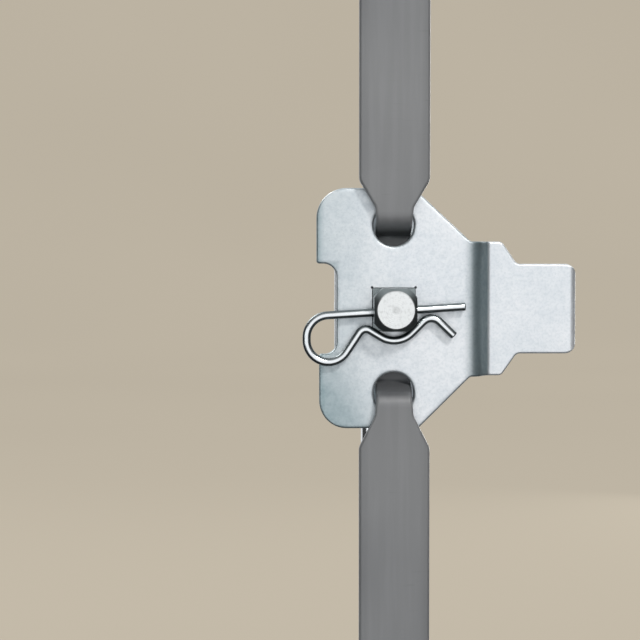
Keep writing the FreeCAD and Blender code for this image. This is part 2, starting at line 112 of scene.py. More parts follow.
# ------------------------------------------------------------------ shader maths
@dataclass(frozen=True)
class Signal:
    """One number that varies over a surface, taken from a shader socket."""

    kit: "NodeKit"
    socket: bpy.types.NodeSocket

    def _math(self, operation: str, first: Any, second: Any) -> "Signal":
        """Adds one Math node and wraps its result."""
        return self.kit.signal("ShaderNodeMath", {"operation": operation}, {0: first, 1: second})

    def __add__(self, other: Any) -> "Signal":
        """Sum."""
        return self._math("ADD", self, other)

    def __radd__(self, other: Any) -> "Signal":
        """Sum with a plain number on the left."""
        return self._math("ADD", other, self)

    def __sub__(self, other: Any) -> "Signal":
        """Difference."""
        return self._math("SUBTRACT", self, other)

    def __rsub__(self, other: Any) -> "Signal":
        """Difference from a plain number."""
        return self._math("SUBTRACT", other, self)

    def __mul__(self, other: Any) -> "Signal":
        """Product."""
        return self._math("MULTIPLY", self, other)

    def __rmul__(self, other: Any) -> "Signal":
        """Product with a plain number on the left."""
        return self._math("MULTIPLY", other, self)

    def __truediv__(self, other: Any) -> "Signal":
        """Quotient."""
        return self._math("DIVIDE", self, other)

    def __rtruediv__(self, other: Any) -> "Signal":
        """Quotient of a plain number."""
        return self._math("DIVIDE", other, self)

    def __pow__(self, other: Any) -> "Signal":
        """Power."""
        return self._math("POWER", self, other)

    def __rpow__(self, other: Any) -> "Signal":
        """Power of a plain number."""
        return self._math("POWER", other, self)

    def least(self, other: Any) -> "Signal":
        """The smaller of this and another, with a millimetre of rounding between them."""
        return self.kit.signal(
            "ShaderNodeMath", {"operation": "SMOOTH_MIN"}, {0: self, 1: other, 2: MM})

    def most(self, other: Any) -> "Signal":
        """The larger of this and another."""
        return self._math("MAXIMUM", self, other)

    def size(self) -> "Signal":
        """This signal without its sign."""
        return self._math("ABSOLUTE", self, 0.0)

    def sine(self) -> "Signal":
        """The sine of this signal, in radians."""
        return self._math("SINE", self, 0.0)

    def ramp(self, low: float, high: float) -> "Signal":
        """0 below low, 1 above high, and smooth between.

        Args:
            low: where the ramp starts.
            high: where it ends.

        Returns:
            The smoothed signal.
        """
        settings = {"interpolation_type": "SMOOTHSTEP"}
        return self.kit.signal("ShaderNodeMapRange", settings, {0: self, 1: low, 2: high})

    def ramp_mm(self, span_mm: Span) -> "Signal":
        """A ramp over a span of millimetres, of a signal in metres."""
        return self.ramp(span_mm[0] * MM, span_mm[1] * MM)

    def between(self, low: float, high: float) -> "Signal":
        """Spreads a 0 to 1 signal over a range.

        Args:
            low: the value at 0.
            high: the value at 1.

        Returns:
            The scaled signal.
        """
        return self * (high - low) + low


@dataclass(frozen=True)
class NodeKit:
    """Adds nodes to one material's or world's tree."""

    tree: bpy.types.NodeTree

    def node(self, kind: str, settings: Values, inputs: dict[Any, Any]) -> bpy.types.Node:
        """Adds a node, sets it up, then fills its sockets.

        Args:
            kind: the node's type name.
            settings: its properties, set before the sockets.
            inputs: socket name or number to a value, signal or socket.

        Returns:
            The new node.
        """
        made = self.tree.nodes.new(kind)
        for name, value in settings.items():
            setattr(made, name, value)
        for name, value in inputs.items():
            self.feed(made.inputs[name], value)
        return made

    def feed(self, target: bpy.types.NodeSocket, value: Any) -> None:
        """Links a signal or socket to a target, or sets a plain value on it.

        Args:
            target: the input socket.
            value: what goes into it.
        """
        source = value.socket if isinstance(value, Signal) else value
        if isinstance(source, bpy.types.NodeSocket):
            self.tree.links.new(source, target)
        elif isinstance(source, tuple) and len(source) == 3 and target.type == "RGBA":
            target.default_value = (*source, 1.0)
        else:
            target.default_value = source

    def signal(self, kind: str, settings: Values, inputs: dict[Any, Any]) -> Signal:
        """Adds a node and wraps its first output."""
        return Signal(self, self.node(kind, settings, inputs).outputs[0])

    def place(self, grain: Grain = Grain.NONE) -> bpy.types.NodeSocket:
        """The surface point in the object's own metres.

        Args:
            grain: what stretches the marks that are put there.

        Returns:
            The vector socket.
        """
        point = self.node("ShaderNodeTexCoord", {}, {}).outputs["Object"]
        mapping = self.node("ShaderNodeMapping", {}, {"Vector": point, "Scale": grain.value})
        return mapping.outputs[0]

    def axes(self) -> tuple[Signal, Signal, Signal]:
        """The surface point's x, y and z, in metres."""
        split = self.node("ShaderNodeSeparateXYZ", {}, {0: self.place()})
        return tuple(Signal(self, out) for out in split.outputs)

    def off_axis(self) -> Signal:
        """How far the surface point is from the spindle's axis, in metres."""
        x, _, z = self.axes()
        return (x * x + z * z) ** 0.5

    def rings(self, radius: Signal, pitch_mm: float) -> Signal:
        """Turning marks about the spindle's axis, as a signal from 0 to 1."""
        return (radius * (FULL_TURN / (pitch_mm * MM))).sine() * 0.5 + 0.5

    def marks(self, layer: Layer) -> Signal:
        """Cloudy marks of about one size.

        Args:
            layer: what they are like.

        Returns:
            A signal from 0 to 1.
        """
        noise = self.signal("ShaderNodeTexNoise", {}, {
            "Vector": self.place(layer.grain), "Scale": 1.0 / (layer.size_mm * MM),
            "Detail": layer.detail,
        })
        return noise if layer.fade is None else noise.ramp(*layer.fade)

    def colours(self, first: Any, second: Any, amount: Any,
                blend: Blend = Blend.MIX) -> bpy.types.NodeSocket:
        """Puts two colours together.

        Args:
            first: the colour at 0.
            second: the colour at 1.
            amount: how much of the second.
            blend: how they are put together.

        Returns:
            The colour socket.
        """
        settings = {"data_type": "RGBA", "blend_type": blend.value}
        made = self.node("ShaderNodeMix", settings, {0: amount, 6: first, 7: second})
        return made.outputs[2]

    def bump(self, height: Signal, relief: Relief) -> bpy.types.NodeSocket:
        """A normal from a height signal.

        Args:
            height: a signal from 0 to 1.
            relief: the height at 1, and how much of it shows.

        Returns:
            The normal socket.
        """
        made = self.node("ShaderNodeBump", {}, {
            "Height": height, "Distance": relief.depth_mm * MM, "Strength": relief.strength,
        })
        return made.outputs["Normal"]

    def roll(self, fall: Signal, depth_mm: float,
             normal: bpy.types.NodeSocket) -> bpy.types.NodeSocket:
        """A normal that leans over where an edge has fallen away.

        Args:
            fall: a signal from 0 to 1.
            depth_mm: how far the surface has fallen at 1.
            normal: the surface's finer bumps.

        Returns:
            The normal socket.
        """
        made = self.node("ShaderNodeBump", {"invert": True}, {
            "Height": fall, "Distance": depth_mm * MM, "Normal": normal,
        })
        return made.outputs["Normal"]


# ---------------------------------------------------------------------- finishes
@dataclass(frozen=True)
class Finish:
    """A surface finish: what it is made of, and how it varies.

    The spread is how far the roughness goes below and above its middle value.
    """

    name: str
    colour: Colour
    roughness: float = 0.4
    metallic: float = 1.0
    spread: Span = (0.0, 0.0)
    relief: Relief = Relief(0.01, 0.5)

    def fixed(self) -> Values:
        """The shader's values that are the same all over."""
        return {}

    def surface(self, kit: NodeKit) -> Values:
        """The shader's values that vary, as a socket name to a signal or socket.

        Args:
            kit: adds nodes to the material.

        Returns:
            What to put on the shader's sockets.
        """
        raise NotImplementedError

    def rough(self, where: Signal) -> Signal:
        """The roughness, spread by a 0 to 1 signal."""
        low, high = self.spread
        return where.between(self.roughness + low, self.roughness + high)

    def material(self) -> bpy.types.Material:
        """Makes the material, or gives it again if it has been made.

        Returns:
            The material.
        """
        known = bpy.data.materials.get(self.name)
        if known is not None:
            return known
        made = bpy.data.materials.new(self.name)
        made.use_nodes = True
        made.node_tree.nodes.clear()
        kit = NodeKit(made.node_tree)
        base = {
            "Base Color": self.colour, "Roughness": self.roughness, "Metallic": self.metallic,
        }
        values = {**base, **self.fixed(), **self.surface(kit)}
        shader = kit.node("ShaderNodeBsdfPrincipled", {}, values)
        kit.node("ShaderNodeOutputMaterial", {}, {"Surface": shader.outputs[0]})
        return made

    def dress(self, piece: bpy.types.Object) -> None:
        """Puts the finish on every face of a piece.

        Args:
            piece: a mesh object.
        """
        piece.data.materials.clear()
        piece.data.materials.append(self.material())


@dataclass(frozen=True)
class ZincPlate(Finish):
    """Bright zinc on rolled steel: faint cloudy mottling over a fine grain."""

    spread: Span = (-0.05, 0.09)
    relief: Relief = Relief(0.012, 0.55)
    cool: Colour = (0.60, 0.66, 0.70)
    pit_tone: Colour = (0.30, 0.33, 0.35)
    speck_tone: Colour = (0.70, 0.74, 0.76)
    cloud: Layer = Layer(1.6, 2.0, (0.3, 0.7))
    broad: Layer = Layer(13.0, 1.0, (0.35, 0.65))
    fine: Layer = Layer(0.35, 2.0, grain=Grain.ALONG_X)
    pits: Layer = Layer(0.22, 1.0, (0.66, 0.78))
    specks: Layer = Layer(0.6, 3.0, (0.42, 0.66))

    def surface(self, kit: NodeKit) -> Values:
        """Mottled colour and roughness, rolling grain and small pits.

        Args:
            kit: adds nodes to the material.

        Returns:
            What to put on the shader's sockets.
        """
        cloud, broad, fine = (kit.marks(layer) for layer in (self.cloud, self.broad, self.fine))
        pits = kit.marks(self.pits)
        tone = kit.colours(self.colour, self.cool, cloud * 0.3 + broad * 0.35)
        tone = kit.colours(tone, self.pit_tone, pits * 0.35, Blend.MULTIPLY)
        tone = kit.colours(tone, self.speck_tone, kit.marks(self.specks) * 0.30, Blend.MULTIPLY)
        height = fine * 0.6 + cloud * 0.35 - pits * 0.5
        return {
            "Base Color": tone, "Roughness": self.rough(cloud) + fine * 0.06,
            "Normal": kit.bump(height, self.relief),
        }


@dataclass(frozen=True)
class Wall:
    """A straight stamped edge: the way inwards across and up, and its distance out."""

    across: float
    up: float
    out_mm: float


@dataclass(frozen=True)
class StampedZinc(ZincPlate):
    """Zinc on the stamped cam plate, whose punched edges roll over on the front, with painted
    shade along those edges, down its left side and across its bend.

    The spans of the form ..._x_mm are where a mark starts and where it is full.
    """

    roll_span_mm: Span = (-0.2, 1.0)
    roll_depth_mm: float = 0.10
    walls: tuple[Wall, ...] = (
        Wall(1.0, 0.0, 17.4), Wall(0.0, -1.0, 27.3), Wall(0.0, 1.0, 26.9),
        Wall(-0.683, -0.730, 23.0), Wall(-0.704, 0.710, 23.0),
    )
    hole_z_mm: float = 18.8
    hole_r_mm: float = 4.62
    notch_x_mm: float = -12.9
    notch_half_h_mm: float = 10.2
    root_end_x_mm: Span = (15.5, 17.5)
    bend_start_x_mm: Span = (15.4, 18.9)
    bend_end_x_mm: Span = (21.4, 22.4)
    side_shade_left_x_mm: Span = (-19.0, 4.0)
    side_shade_corner_mm: Span = (-43.0, -17.0)
    side_shade_rim_x_mm: Span = (-17.5, -15.2)
    side_shade_patches: Layer = Layer(3.0, 3.0)
    edge_shade_patches: Layer = Layer(2.5, 3.0, (0.3, 0.8))
    teal: Colour = (0.40, 0.49, 0.50)
    bend_shadow_tone: Colour = (0.28, 0.34, 0.35)

    def from_edge(self, kit: NodeKit) -> Signal:
        """How far the surface point is from the nearest stamped edge.

        Args:
            kit: adds nodes to the material.

        Returns:
            The distance in metres, below 0 past the edge.
        """
        x, _, z = kit.axes()
        gap = None
        for wall in self.walls:
            inside = x * wall.across + z * wall.up + wall.out_mm * MM
            gap = inside if gap is None else gap.least(inside)
        for height in (self.hole_z_mm, -self.hole_z_mm):
            away = z - height * MM
            gap = gap.least((x * x + away * away) ** 0.5 - self.hole_r_mm * MM)
        notch = (x - self.notch_x_mm * MM).most(z.size() - self.notch_half_h_mm * MM)
        return gap.least(notch)

    def painted_side_shade(self, kit: NodeKit) -> Signal:
        """Painted shade: how much the plate darkens towards teal to the left and in its lower
        corner, away from the light.

        Args:
            kit: adds nodes to the material.

        Returns:
            How thick it is, from 0 up.
        """
        x, _, z = kit.axes()
        left = 1.0 - x.ramp_mm(self.side_shade_left_x_mm)
        corner = 1.0 - (x + z).ramp_mm(self.side_shade_corner_mm)
        rim = 1.0 - x.ramp_mm(self.side_shade_rim_x_mm)
        patchy = kit.marks(self.side_shade_patches).between(0.75, 1.25)
        return (left * 0.46 + corner * 0.60 + rim * 0.45) * patchy

    def surface(self, kit: NodeKit) -> Values:
        """The plate's mottling, darker at its rolled edges, in its film and at its bend.

        Args:
            kit: adds nodes to the material.

        Returns:
            The plate's mottling, with painted shade at its rolled edges and down its left side,
            and a painted shadow across its bend.
        """
        values = super().surface(kit)
        x, _, _ = kit.axes()
        on_root = 1.0 - x.ramp_mm(self.root_end_x_mm)
        edge = (1.0 - self.from_edge(kit).ramp_mm(self.roll_span_mm)) * on_root
        tint = kit.marks(self.edge_shade_patches).between(0.25, 0.75)
        bend = x.ramp_mm(self.bend_start_x_mm) * (1.0 - x.ramp_mm(self.bend_end_x_mm))
        # Painted shade: the rolled edges darkened towards teal in the colour, on top of the real
        # lean of the normal.
        tone = kit.colours(values["Base Color"], self.teal, edge * tint, Blend.MULTIPLY)
        # Painted shade, darker down the left side and in the lower-left corner, in patches of
        # random strength.
        tone = kit.colours(tone, self.teal, self.painted_side_shade(kit), Blend.MULTIPLY)
        # Painted shadow: a dark band across the bend, where the door's flange shades the plate;
        # the door is not built.
        tone = kit.colours(tone, self.bend_shadow_tone, bend, Blend.MULTIPLY)
        normal = kit.roll(edge, self.roll_depth_mm, values["Normal"])
        return {**values, "Base Color": tone, "Normal": normal}


@dataclass(frozen=True)
class GreyEnamel(Finish):
    """Baked enamel: a little orange peel, handling marks, and painted shade on the neck and the
    hook.

    The spans are where the strip's shoulder, neck and hook start, and where their
    marks are full.  The shade shares are for the lower rod and for the upper rod.
    """

    spread: Span = (-0.05, 0.06)
    relief: Relief = Relief(0.02, 0.35)
    shoulder_x_mm: Span = (5.4, 8.8)
    shoulder_depth_mm: float = 0.7
    neck_y_mm: Span = (-18.6, -17.4)
    neck_shade_share: Span = (0.95, 0.35)
    neck_shade_tone: Colour = (0.50, 0.51, 0.52)
    hook_y_mm: Span = (-16.8, -14.2)
    hook_shade_share: Span = (0.15, 1.0)
    hook_shade_tone: Colour = (0.26, 0.27, 0.27)
    upper_z_mm: Span = (-1.0, 1.0)
    slow_tone: Colour = (0.74, 0.75, 0.77)
    coat: Span = (0.12, 0.3)
    peel: Layer = Layer(0.9, 2.0)
    streaks: Layer = Layer(1.3, 3.0, (0.35, 0.75), Grain.STREAKS_ALONG_Z)
    rubs: Layer = Layer(1.1, 2.0, (0.64, 0.72), Grain.RUBS_ALONG_X)
    band: Layer = Layer(14.0, 1.0, (0.5, 0.7))
    slow: Layer = Layer(38.0, 1.0, (0.25, 0.75))

    def fixed(self) -> Values:
        """The gloss of the clear top of the enamel."""
        return {"Coat Roughness": 0.28, "Specular IOR Level": 0.45}

    def paint_shade_and_tone(self, kit: NodeKit, tone: Any) -> Any:
        """Paints shade on the necks and the hooks, and darkens the whole bar slowly in random
        patches.

        Args:
            kit: adds nodes to the material.
            tone: the colour before.

        Returns:
            The colour socket after.
        """
        _, y, z = kit.axes()
        upper = z.ramp_mm(self.upper_z_mm)
        neck = y.ramp_mm(self.neck_y_mm) * upper.between(*self.neck_shade_share)
        hook = y.ramp_mm(self.hook_y_mm) * upper.between(*self.hook_shade_share)
        # Painted shade on the neck slopes, and on the hooks where they pass into the plate's
        # slots.
        tone = kit.colours(tone, self.neck_shade_tone, neck, Blend.MULTIPLY)
        tone = kit.colours(tone, self.hook_shade_tone, hook, Blend.MULTIPLY)
        return kit.colours(tone, self.slow_tone, kit.marks(self.slow) * 0.8, Blend.MULTIPLY)

    def surface(self, kit: NodeKit) -> Values:
        """Peel, faint streaks along the bar and a few rub marks across it.

        Args:
            kit: adds nodes to the material.

        Returns:
            What to put on the shader's sockets.
        """
        peel, streaks = kit.marks(self.peel), kit.marks(self.streaks)
        rubs, band = kit.marks(self.rubs), kit.marks(self.band)
        tone = kit.colours(self.colour, scaled(self.colour, 1.22), streaks * 0.35)
        tone = kit.colours(tone, scaled(self.colour, 0.80), rubs * band * 0.55)
        x, _, _ = kit.axes()
        shoulder = x.size().ramp_mm(self.shoulder_x_mm)
        return {
            "Base Color": self.paint_shade_and_tone(kit, tone), "Roughness": self.rough(peel) + rubs * 0.08,
            "Coat Weight": band.between(*self.coat),
            "Normal": kit.roll(shoulder, self.shoulder_depth_mm, kit.bump(peel, self.relief)),
        }


@dataclass(frozen=True)
class DrawnMetal(Finish):
    """Drawn or ground metal with die lines and slight staining."""

    spread: Span = (-0.04, 0.08)
    relief: Relief = Relief(0.006, 0.5)
    stain: float = 0.2
    lines: Layer = Layer(0.12, 2.0, grain=Grain.ALONG_X)
    patch: Layer = Layer(3.0, 2.0, (0.4, 0.7))

    def surface(self, kit: NodeKit) -> Values:
        """Fine lines along the grain, and a slow change of tone.

        Args:
            kit: adds nodes to the material.

        Returns:
            What to put on the shader's sockets.
        """
        lines, patch = kit.marks(self.lines), kit.marks(self.patch)
        return {
            "Base Color": kit.colours(
                self.colour, scaled(self.colour, 0.72), patch * self.stain),
            "Roughness": self.rough(lines) + patch * 0.06,
            "Normal": kit.bump(lines, self.relief),
        }


@dataclass(frozen=True)
class FlankShadedWire(Finish):
    """Drawn spring wire in one plane, bright along its front and darkened round its flanks with
    painted shade.

    The flank shade span is how far the bright front and the full painted shade reach back, in
    wire radii.
    """

    spread: Span = (0.0, 0.16)
    relief: Relief = Relief(0.003, 0.4)
    flank_shade_span: Span = (-0.97, -0.79)
    flank_shade_tone: Colour = (0.13, 0.155, 0.16)
    uneven: Layer = Layer(1.2, 2.0)
    lines: Layer = Layer(0.12, 2.0)

    def surface(self, kit: NodeKit) -> Values:
        """Bright down the front, painted shade round the flanks, with fine drawing lines.

        Args:
            kit: adds nodes to the material.

        Returns:
            What to put on the shader's sockets.
        """
        _, y, _ = kit.axes()
        back = (y - CLIP_PLANE_Y_MM * MM) / (CLIP_WIRE_R_MM * MM)
        flank = (back + kit.marks(self.uneven) * 0.06).ramp(*self.flank_shade_span)
        lines = kit.marks(self.lines)
        return {
            # Painted shade: the flanks darkened in the colour, by how far back each point lies
            # in the wire.
            "Base Color": kit.colours(self.colour, self.flank_shade_tone, flank * 0.93),
            "Roughness": self.rough(flank) + lines * 0.05,
            "Normal": kit.bump(lines, self.relief),
        }


@dataclass(frozen=True)
class TurnedEnd(Finish):
    """Square bar with a lathe-faced end: rings about the Y axis."""

    relief: Relief = Relief(0.02, 0.5)
    ring_mm: float = 0.42
    face_y_mm: Span = (-23.85, -23.60)
    centre_r_mm: Span = (0.6, 1.1)
    wobble_mm: float = 0.3
    bar_shade_tone: Colour = (0.20, 0.235, 0.24)
    wobble: Layer = Layer(1.5, 1.0)
    scuffs: Layer = Layer(0.6, 3.0, (0.45, 0.75))

    def surface(self, kit: NodeKit) -> Values:
        """Turning marks on the end; the chamfer and the drawn bar behind it darkened with
        painted shade.

        Args:
            kit: adds nodes to the material.

        Returns:
            What to put on the shader's sockets.
        """
        _, y, _ = kit.axes()
        radius = kit.off_axis()
        rings = kit.rings(radius + kit.marks(self.wobble) * (self.wobble_mm * MM), self.ring_mm)
        on_end = 1.0 - y.ramp_mm(self.face_y_mm)
        centre = (1.0 - radius.ramp_mm(self.centre_r_mm)) * on_end
        scuff = kit.marks(self.scuffs)
        dark = scaled(self.colour, 0.5)
        tone = kit.colours(self.colour, dark, scuff * 0.3)
        tone = kit.colours(tone, dark, centre * 0.35)
        # Painted shade on the chamfer and the bar's sides behind the lit end face.
        tone = kit.colours(self.bar_shade_tone, tone, on_end.between(0.12, 1.0))
        height = rings * on_end + scuff * 0.3 - centre * 1.5
        return {
            "Base Color": tone,
            "Roughness": rings * on_end * 0.10 + scuff * 0.08 + self.roughness,
            "Normal": kit.bump(height, self.relief),
        }


@dataclass(frozen=True)
class CastChrome(Finish):
    """Chrome over a polished casting: faint waves and finger smears."""

    spread: Span = (0.0, 0.10)
    relief: Relief = Relief(0.03, 0.35)
    wave: Layer = Layer(9.0, 1.0)
    smears: Layer = Layer(5.0, 4.0, (0.45, 0.75), Grain.SMEARS_ALONG_Z)
    specks: Layer = Layer(0.4, 1.0, (0.7, 0.8))
    warmth: Colour = (0.96, 0.95, 0.93)

    def surface(self, kit: NodeKit) -> Values:
        """Uneven polish and smears in the gloss.

        Args:
            kit: adds nodes to the material.

        Returns:
            What to put on the shader's sockets.
        """
        smear = kit.marks(self.smears)
        return {
            "Base Color": kit.colours(self.colour, tinted(self.colour, self.warmth), smear),
            "Roughness": self.rough(smear) + kit.marks(self.specks) * 0.08,
            "Normal": kit.bump(kit.marks(self.wave), self.relief),
        }


@dataclass(frozen=True)
class Moulded(Finish):
    """Moulded nylon or rubber: a fine matt texture."""

    metallic: float = 0.0
    spread: Span = (-0.06, 0.06)
    relief: Relief = Relief(0.02, 0.5)
    fine: Layer = Layer(0.3, 2.0)
    slow: Layer = Layer(4.0, 2.0)

    def surface(self, kit: NodeKit) -> Values:
        """Fine texture with a slow change of tone.

        Args:
            kit: adds nodes to the material.

        Returns:
            What to put on the shader's sockets.
        """
        fine = kit.marks(self.fine)
        return {
            "Base Color": kit.colours(
                self.colour, scaled(self.colour, 0.85), kit.marks(self.slow)),
            "Roughness": self.rough(fine), "Normal": kit.bump(fine, self.relief),
        }


@dataclass(frozen=True)
class MachinedBrass(Finish):
    """Turned brass: rings about the Y axis and a little tarnish."""

    spread: Span = (0.0, 0.18)
    relief: Relief = Relief(0.006, 0.4)
    ring_mm: float = 0.35
    tarnish: Layer = Layer(2.2, 3.0, (0.45, 0.8))
    browning: Colour = (0.62, 0.52, 0.42)

    def surface(self, kit: NodeKit) -> Values:
        """Turning marks, and tarnish in patches.

        Args:
            kit: adds nodes to the material.

        Returns:
            What to put on the shader's sockets.
        """
        tarnish = kit.marks(self.tarnish)
        brown = tinted(self.colour, self.browning)
        rings = kit.rings(kit.off_axis(), self.ring_mm)
        return {
            "Base Color": kit.colours(self.colour, brown, tarnish * 0.45),
            "Roughness": self.rough(tarnish), "Normal": kit.bump(rings, self.relief),
        }


@dataclass(frozen=True)
class Paper(Finish):
    """Plain studio paper, lit a little from behind so that it shades evenly."""

    glow: float = 0.8
    slow: Layer = Layer(900.0, 1.0)

    def fixed(self) -> Values:
        """The light that comes through it."""
        return {"Emission Strength": self.glow, "Specular IOR Level": 0.0}

    def surface(self, kit: NodeKit) -> Values:
        """A slow, slight change of tone.

        Args:
            kit: adds nodes to the material.

        Returns:
            What to put on the shader's sockets.
        """
        slow = kit.marks(self.slow)
        shade = scaled(self.colour, 0.93)
        return {
            "Base Color": kit.colours(scaled(self.colour, 0.10), shade, slow * 0.02),
            "Emission Color": kit.colours(self.colour, shade, slow),
        }


SHEET_ZINC = StampedZinc(
    "sheet_zinc", (0.86, 0.875, 0.89), roughness=0.36, metallic=0.60, cool=(0.69, 0.735, 0.77))
SMALL_ZINC = ZincPlate(
    "small_zinc", (0.70, 0.715, 0.73), roughness=0.32, metallic=0.85,
    cloud=Layer(0.9, 2.0, (0.3, 0.7)))
ROD_ENAMEL = GreyEnamel("rod_enamel", (0.212, 0.213, 0.214), roughness=0.36, metallic=0.0)
CLIP_WIRE = FlankShadedWire("clip_wire", (0.88, 0.90, 0.91), roughness=0.16)
SPINDLE_BAR = TurnedEnd("spindle_bar", (0.82, 0.83, 0.82), roughness=0.30)
PIN_STEEL = DrawnMetal("pin_steel", (0.52, 0.53, 0.54), roughness=0.30)
SPRING_BLUE = DrawnMetal("spring_blue", (0.23, 0.25, 0.29), roughness=0.28, stain=0.5)
CAST_CHROME = CastChrome("cast_chrome", (0.78, 0.79, 0.80), roughness=0.17)
LOCK_CHROME = CastChrome(
    "lock_chrome", (0.84, 0.84, 0.84), roughness=0.09, wave=Layer(4.0, 1.0))
BOLT_ZINC = DrawnMetal(
    "bolt_zinc", (0.62, 0.62, 0.60), roughness=0.34, lines=Layer(0.12, 2.0, grain=Grain.ALONG_Z))
PLUG_BRASS = MachinedBrass("plug_brass", (0.78, 0.60, 0.30), roughness=0.22)
KEY_NICKEL = DrawnMetal("key_nickel", (0.72, 0.70, 0.64), roughness=0.24, stain=0.35)
PALE_NYLON = Moulded("pale_nylon", (0.80, 0.79, 0.73), roughness=0.45)
SEAL_RUBBER = Moulded("seal_rubber", (0.030, 0.030, 0.032), roughness=0.62)


# ----------------------------------------------------------------- making pieces
def finish_mesh(name: str, bm: bmesh.types.BMesh, smooth_deg: float) -> bpy.types.Object:
    """Turns a bmesh into an object at the origin, with its faces pointing outwards.

    Args:
        name: the piece's name.
        bm: the mesh, which is freed.
        smooth_deg: edges sharper than this stay sharp.

    Returns:
        The object, linked to the scene.
    """
    bmesh.ops.remove_doubles(bm, verts=bm.verts, dist=WELD)
    bmesh.ops.recalc_face_normals(bm, faces=bm.faces)
    limit = math.radians(smooth_deg)
    for edge in bm.edges:
        edge.smooth = len(edge.link_faces) == 2 and edge.calc_face_angle(0.0) < limit
    for face in bm.faces:
        face.smooth = True
    mesh = bpy.data.meshes.new(name)
    bm.to_mesh(mesh)
    bm.free()
    piece = bpy.data.objects.new(name, mesh)
    bpy.context.scene.collection.objects.link(piece)
    return piece


@dataclass(frozen=True)
class Corner:
    """One corner of a wire's route: where it is and how round."""

    x_mm: float
    z_mm: float
    radius_mm: float = 0.0

    def at(self, y_mm: float) -> Vector:
        """The corner in metres, in the plane at a given y."""
        return Vector((self.x_mm, y_mm, self.z_mm)) * MM


@dataclass
class WireClip:
    """The hairpin clip: round wire with one straight leg and one waved leg.

    The straight leg leans, and crosses the spindle a drop below its axis.
    """

    leg_end_x_mm: float = 16.0
    eye_x_mm: float = -19.7
    eye_r_mm: float = 4.95
    lean_deg: float = 3.6
    drop_mm: float = 0.35
    end_round_mm: float = 0.28
    end_steps: int = 3
    sides: int = 28
    degrees_per_step: float = 5.0
    smooth_deg: float = 40.0
    wave: tuple[Corner, ...] = (
        Corner(-19.7, -11.8, 4.9), Corner(-12.2, -11.8, 5.0), Corner(-6.9, -3.8, 1.8),
        Corner(0.8, -8.45, 5.6), Corner(8.3, -0.95, 2.6), Corner(13.5, -5.95),
    )

    def leg(self, x_mm: float, radius_mm: float = 0.0) -> Corner:
        """A corner on the straight leg."""
        rise = x_mm * math.tan(math.radians(self.lean_deg))
        return Corner(x_mm, rise - self.drop_mm, radius_mm)

    def route(self) -> list[Corner]:
        """The whole route, from the straight leg's end to the waved leg's end."""
        return [self.leg(self.leg_end_x_mm), self.leg(self.eye_x_mm, self.eye_r_mm), *self.wave]

    def ring(self, bm: bmesh.types.BMesh, start: Vector, ahead: Vector) -> Edges:
        """Makes the wire's first end, a disc whose rim is then drawn out.

        Args:
            bm: the mesh, which is empty.
            start: the disc's centre.
            ahead: the way the wire runs from it.

        Returns:
            The rim's edges.
        """
        turn = ahead.to_track_quat("Z", "Y").to_matrix().to_4x4()
        bmesh.ops.create_circle(
            bm, cap_ends=True, radius=CLIP_WIRE_R_MM * MM, segments=self.sides,
            matrix=Matrix.Translation(start) @ turn)
        return list(bm.edges)

    def straight(self, bm: bmesh.types.BMesh, edges: Edges, along: Vector) -> Edges:
        """Draws the wire out along a straight run.

        Args:
            bm: the mesh.
            edges: the open ring.
            along: the run.

        Returns:
            The new open ring's edges.
        """
        made = bmesh.ops.extrude_edge_only(bm, edges=edges)["geom"]
        verts = [g for g in made if isinstance(g, bmesh.types.BMVert)]
        bmesh.ops.translate(bm, verts=verts, vec=along)
        return [g for g in made if isinstance(g, bmesh.types.BMEdge) and
                all(v in verts for v in g.verts)]

    def bend(self, bm: bmesh.types.BMesh, edges: Edges, centre: Vector, angle: float) -> Edges:
        """Bends the wire round a centre, in its own plane.

        Args:
            bm: the mesh.
            edges: the open ring.
            centre: the bend's centre.
            angle: how far, in radians about +Y.

        Returns:
            The new open ring's edges.
        """
        steps = max(2, math.ceil(abs(math.degrees(angle)) / self.degrees_per_step))
        made = bmesh.ops.spin(
            bm, geom=edges, cent=centre, axis=Vector((0, 1, 0)), angle=angle, steps=steps,
            use_duplicate=False)["geom_last"]
        return [g for g in made if isinstance(g, bmesh.types.BMEdge)]

    def build(self) -> bpy.types.Object:
        """Bends the wire along its route and closes both ends.

        Returns:
            The finished clip.
        """
        bm = bmesh.new()
        route = self.route()
        here = route[0].at(CLIP_PLANE_Y_MM)
        ahead = (route[1].at(CLIP_PLANE_Y_MM) - here).normalized()
        ring = self.ring(bm, here, ahead)
        for corner, after in zip(route[1:], route[2:]):
            point = corner.at(CLIP_PLANE_Y_MM)
            onward = (after.at(CLIP_PLANE_Y_MM) - point).normalized()
            turn = math.acos(max(-1.0, min(1.0, ahead.dot(onward))))
            reach = corner.radius_mm * MM * math.tan(turn / 2.0)
            start = point - ahead * reach
            ring = self.straight(bm, ring, start - here)
            inward = onward - ahead * onward.dot(ahead)
            centre = start + inward.normalized() * corner.radius_mm * MM
            sense = 1.0 if ahead.cross(onward).y > 0 else -1.0
            ring = self.bend(bm, ring, centre, sense * turn)
            here = point + onward * reach
            ahead = onward
        ring = self.straight(bm, ring, route[-1].at(CLIP_PLANE_Y_MM) - here)
        bmesh.ops.holes_fill(bm, edges=ring, sides=self.sides)
        caps = [e for e in bm.edges if any(len(f.verts) > 4 for f in e.link_faces)]
        bmesh.ops.bevel(
            bm, geom=caps, offset=self.end_round_mm * MM, offset_type="OFFSET",
            segments=self.end_steps, profile=0.5, affect="EDGES", material=-1)
        return finish_mesh("wire_clip", bm, self.smooth_deg)


